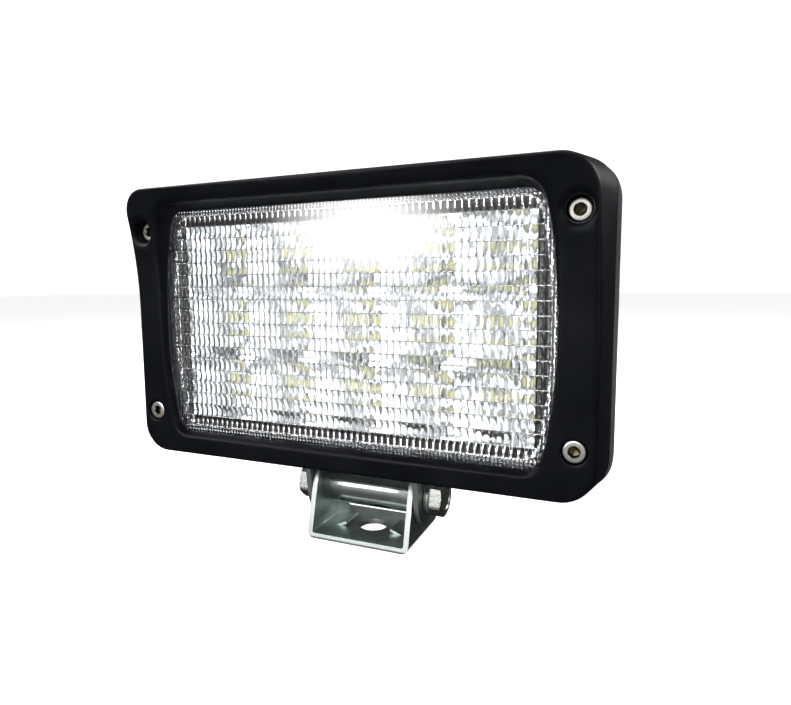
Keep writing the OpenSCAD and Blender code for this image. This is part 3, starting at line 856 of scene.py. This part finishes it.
def make_bezel_screws():
    parts = []
    for x, z in SCREW_PLACES:
        def place(a, b, d, x=x, z=z):
            return lamp(x + a, d, z + b)
        parts.append(join_loops(cap_screw_rings(
            place, SCREW_HEAD_R, SCREW_KEY, SCREW_HEAD, SCREW_LENGTH, SCREW_SHANK_R
        )))
    obj = make_piece(
        "bezel_cap_screws", *add_parts(parts), "lamp", "fastener_steel", ["bezel_screws"],
        smooth=40.0
    )
    # The steel with painted shade behind the head's face
    obj.data.materials[0] = BEZEL_SCREW_SHADED_STEEL


make_bezel_screws()

HEAD_TURN, PIVOT_HEX, PIVOT_HEAD = 18.0, 16.0, 6.4
PIVOT_SHANK_R, PIVOT_LENGTH = 5.0, 25.0
CHAMFER_START, CHAMFER_SLOPE = 0.95, 60.0   # as a share of the half width, and in degrees


def make_pivot_bolts():
    head_x = (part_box("pivot_bolts")[1][0] / MM) - PIVOT_HEAD
    half = PIVOT_HEX / 2
    parts = []
    for side in (-1, 1):
        def place(a, b, d, s=side):
            return axis(s * (head_x + PIVOT_HEAD - d), a, b)
        # The dished middle of the head's face
        dish = ((0.6, 0.45), (half * 0.62, 0.42), (half * 0.68, 0.0), (half * 0.93, 0.0))
        loops = [ring(place, r, depth) for r, depth in dish]
        # The chamfer: a hexagon trimmed by a cone, so its corners sit lower than its flats
        top, side_loop = [], []
        for k in range(ROUND):
            a = 2 * math.pi * k / ROUND
            off = (a - math.radians(HEAD_TURN) + math.pi / 6) % (math.pi / 3) - math.pi / 6
            reach = half / math.cos(abs(off) - math.pi / 6)
            past = reach - half * CHAMFER_START
            drop = max(0.12, past / math.tan(math.radians(CHAMFER_SLOPE)))
            top.append(place(reach * math.cos(a), reach * math.sin(a), drop))
            side_loop.append(place(reach * math.cos(a), reach * math.sin(a), PIVOT_HEAD - 0.5))
        loops += [top, side_loop]
        # The washer face under the head, and the shank
        loops += [
            ring(place, half * 0.97, PIVOT_HEAD - 0.4),
            ring(place, half * 0.95, PIVOT_HEAD),
            ring(place, PIVOT_SHANK_R, PIVOT_HEAD),
            ring(place, PIVOT_SHANK_R, PIVOT_HEAD + PIVOT_LENGTH - 0.5),
            ring(place, PIVOT_SHANK_R - 0.5, PIVOT_HEAD + PIVOT_LENGTH),
        ]
        parts.append(join_loops(loops))
    make_piece(
        "pivot_hex_bolts", *add_parts(parts), "mounting_base", "zinc_bolt", ["pivot_bolts"],
        smooth=28.0
    )


make_pivot_bolts()

TUBE_BORE_R, TUBE_ROUND = 5.0, 96


def make_tube():
    low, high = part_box("spacer_tube")
    half_w, r = high[0] / MM, (high[1] - low[1]) / 2 / MM
    end = [(half_w * 0.5, r), (half_w - 0.5, r), (half_w - 0.15, r - 0.15), (half_w, r - 0.5)]
    end.append((half_w, TUBE_BORE_R))
    profile = [(-x, radius) for x, radius in reversed(end)] + [(0.0, r)] + end
    angles = [2 * math.pi * k / TUBE_ROUND for k in range(TUBE_ROUND)]
    loops = [
        [axis(x, radius * math.cos(a), radius * math.sin(a)) for a in angles]
        for x, radius in profile
    ]
    make_piece(
        "spacer_tube_turned", *join_loops(loops, closed=True), "mounting_base", "polished_tube",
        ["spacer_tube"]
    )


make_tube()

# CAD pieces that keep their shape -------------------------------------------------

EDGE_WIDTH = {
    "lower_bracket": 0.35,
    "upper_bracket": 0.35,
    "rear_housing": 0.5,
    "driver_cover": 0.5,
    "cable_gland": 0.3,
    "gland_cap": 0.3,
    "breather_vent": 0.3,
    "pivot_lock_washers": 0.2,
    "driver_cover_screws": 0.15,
}
WELD_WITHIN = 0.000005                      # in metres


def finish_cad_nodes():
    """Gives each CAD piece that still shows its material, and small rounded edges."""
    for name, obj in frame["nodes"].items():
        if obj.hide_render:
            continue
        obj.data.materials.clear()
        obj.data.materials.append(MAT[SLOT_OF[name]])
        if name in EDGE_WIDTH:
            weld = obj.modifiers.new("weld", "WELD")
            weld.merge_threshold = WELD_WITHIN
            edge = obj.modifiers.new("edge", "BEVEL")
            edge.width = EDGE_WIDTH[name] * MM
            edge.segments = 3
            edge.limit_method = "ANGLE"
            edge.angle_limit = math.radians(40.0)
            edge.harden_normals = True


finish_cad_nodes()

# Stage ----------------------------------------------------------------------------

FLOOR_REACH, DOME_RADIUS = 7, 9.0           # in metres
PALE_VARIATION = 0.01


def pale_material(name, albedo, glow):
    mat, tree, shader = new_material(name)
    noise = noise_tex(tree, object_coords(tree), 2.0)
    dark, light = (albedo - PALE_VARIATION,) * 3, (albedo + PALE_VARIATION,) * 3
    tree.links.new(two_tone(tree, noise, dark, light), shader.inputs["Base Color"])
    shader.inputs["Roughness"].default_value = 0.9
    shader.inputs["Specular IOR Level"].default_value = 0.1
    shader.inputs["Emission Color"].default_value = (1.0, 1.0, 1.0, 1.0)
    shader.inputs["Emission Strength"].default_value = glow
    return mat


def make_stage():
    """A pale floor and a pale dome round it. Neither shows in the lamp's reflections."""
    mesh = bpy.data.meshes.new("floor")
    corners = [(-1, -1), (1, -1), (1, 1), (-1, 1)]
    verts = [(x * FLOOR_REACH, y * FLOOR_REACH, 0) for x, y in corners]
    mesh.from_pydata(verts, [], [(0, 1, 2, 3)])
    floor = bpy.data.objects.new("floor", mesh)
    bpy.context.scene.collection.objects.link(floor)
    mesh.materials.append(pale_material("floor_pale", albedo=0.7, glow=0.80))
    mesh = bpy.data.meshes.new("dome")
    bm = bmesh.new()
    bmesh.ops.create_uvsphere(bm, u_segments=48, v_segments=24, radius=DOME_RADIUS)
    bm.to_mesh(mesh)
    bm.free()
    dome = bpy.data.objects.new("dome", mesh)
    bpy.context.scene.collection.objects.link(dome)
    mesh.materials.append(pale_material("dome_pale", albedo=0.5, glow=1.05))
    dome.visible_diffuse = False
    dome.visible_transmission = False
    dome.visible_shadow = False
    for obj in (floor, dome):
        obj.visible_glossy = False


def area_light(name, place, aim, power, width, height):
    data = bpy.data.lights.new(name, "AREA")
    data.shape = "RECTANGLE"
    data.size, data.size_y = width, height
    data.energy = power
    obj = bpy.data.objects.new(name, data)
    obj.location = place
    obj.rotation_euler = (Vector(aim) - Vector(place)).to_track_quat("-Z", "Y").to_euler()
    bpy.context.scene.collection.objects.link(obj)
    return data


def soften_edges(data):
    """Fades an area light from its middle to its edges."""
    data.use_nodes = True
    tree = data.node_tree
    emission = next(n for n in tree.nodes if n.type == "EMISSION")
    place = tree.nodes.new("ShaderNodeNewGeometry")
    from_middle = tree.nodes.new("ShaderNodeVectorMath")
    from_middle.operation = "DISTANCE"
    from_middle.inputs[1].default_value = (0.5, 0.5, 0.0)
    tree.links.new(place.outputs["Parametric"], from_middle.inputs[0])
    fade = map_range(tree, from_middle.outputs["Value"], 0.5, 0.05)
    fade.node.interpolation_type = "SMOOTHSTEP"
    tree.links.new(fade, emission.inputs["Strength"])


# How the world's strength goes with direction. As the direction's part along an axis goes
# between the first two values, a factor goes between the other two, and the four factors
# are multiplied. Forwards is -y.
WORLD_SHADES = (
    ("Y", (-0.75, 0.1), (0.64, 0.06)),
    ("X", (-0.8, -0.1), (0.35, 1.0)),
    ("X", (0.35, 0.9), (1.0, 0.4)),
    ("Z", (-0.4, 0.0), (0.35, 1.0)),
)


def make_world():
    """Soft light from the front, fading towards the back, both sides and below."""
    world = bpy.data.worlds.new("studio")
    world.use_nodes = True
    tree = world.node_tree
    background = next(n for n in tree.nodes if n.type == "BACKGROUND")
    coord = tree.nodes.new("ShaderNodeTexCoord")
    split = separate(tree, coord.outputs["Generated"])
    factors = [
        map_range(tree, split.outputs[side], *place, *factor)
        for side, place, factor in WORLD_SHADES
    ]
    strength = factors[0]
    for factor in factors[1:]:
        product = tree.nodes.new("ShaderNodeMath")
        product.operation = "MULTIPLY"
        tree.links.new(strength, product.inputs[0])
        tree.links.new(factor, product.inputs[1])
        strength = product.outputs["Value"]
    tree.links.new(strength, background.inputs["Strength"])
    background.inputs["Color"].default_value = (1.0, 1.0, 1.0, 1.0)
    bpy.context.scene.world = world


make_stage()
make_world()
MIDDLE = (0.0, 0.0, 0.1)
area_light("key", (-0.36, -0.55, 0.62), (0.0, 0.0, 0.05), power=12.0, width=1.5, height=0.36)
soften_edges(area_light(
    "glare", (-0.24, -0.58, 0.20), (0.03, -0.04, 0.14), power=4.2, width=0.32, height=0.15
))
area_light("right_fill", (1.0, -0.25, 0.45), MIDDLE, power=4.0, width=0.3, height=0.8)
area_light("top_strip", (0.0, -0.02, 0.85), MIDDLE, power=5.0, width=1.0, height=0.12)
area_light("back_left", (-0.95, 0.40, 0.75), MIDDLE, power=8.0, width=0.6, height=0.5)
area_light("back_right", (0.85, 0.75, 0.70), MIDDLE, power=6.0, width=0.4, height=0.5)
area_light("back_top", (0.0, 0.45, 1.25), MIDDLE, power=4.0, width=0.7, height=0.3)

bpy.context.scene.view_settings.view_transform = "Standard"
